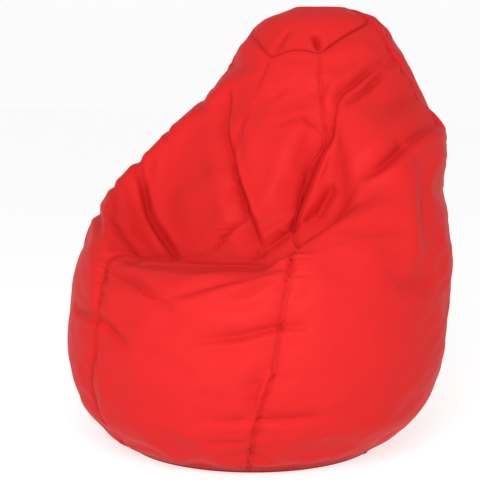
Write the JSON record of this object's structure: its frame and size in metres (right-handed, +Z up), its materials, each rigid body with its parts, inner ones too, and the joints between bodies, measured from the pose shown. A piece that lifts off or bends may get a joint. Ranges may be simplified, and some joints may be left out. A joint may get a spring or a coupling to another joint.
{
  "type": "bean bag chair",
  "caption": "Leaning pear-shaped bean bag chair with a pressed-in seat, sewn from six panels and a top cap over a bead-filled liner, with a zip across its base.",
  "frame": {"origin": "on the floor, under the middle of the whole bag's box", "axes": "+Z up; the sitter faces -Y; +X is on the right of someone standing in front and looking at the seat"},
  "size_m": [0.8638, 0.9199, 0.98],
  "materials": {
    "cover_fabric": "satin woven polyester with a soft sheen",
    "sewing_thread": "twisted polyester thread",
    "zip_tape": "woven herringbone tape",
    "zip_teeth": "moulded",
    "zip_metal": "painted to match the tape",
    "liner_fabric": "plain woven lining",
    "liner_closure_strip": "hook and loop strip",
    "polystyrene_beads": "foam beads"
  },
  "bodies": {
    "bag": {"front_panel": "cover_fabric", "front_right_panel": "cover_fabric", "back_right_panel": "cover_fabric", "back_panel": "cover_fabric", "back_left_panel": "cover_fabric", "front_left_panel": "cover_fabric", "top_cap": "cover_fabric", "base_panel_front": "cover_fabric", "base_panel_rear": "cover_fabric", "seam_thread_front_right": "sewing_thread", "seam_thread_right": "sewing_thread", "seam_thread_back_right": "sewing_thread", "seam_thread_back_left": "sewing_thread", "seam_thread_left": "sewing_thread", "seam_thread_front_left": "sewing_thread", "cap_seam_thread": "sewing_thread", "base_seam_thread": "sewing_thread", "base_middle_thread": "sewing_thread", "zip_tape_front": "zip_tape", "zip_tape_rear": "zip_tape", "zip_teeth_front": "zip_teeth", "zip_teeth_rear": "zip_teeth", "zip_top_stops": "zip_metal", "zip_bottom_stop": "zip_metal", "liner_bag": "liner_fabric", "liner_base": "liner_fabric", "liner_closure": "liner_closure_strip", "bead_fill": "polystyrene_beads"},
    "slider": {"zip_slider": "zip_metal"},
    "pull": {"zip_pull_tab": "zip_metal"}
  },
  "joints": [
    {"name": "zip_slide", "type": "slide", "parent": "bag", "child": "slider", "axis": [1, 0, 0], "range_m": [-0.44, 0], "deforming": ["zip_teeth_front", "zip_teeth_rear"]},
    {"name": "pull_tab_hinge", "type": "hinge", "parent": "slider", "child": "pull", "pos_m": [0.222, -0.028, 0.0034], "axis": [0, -1, 0], "range_deg": [0, 120]}
  ]
}
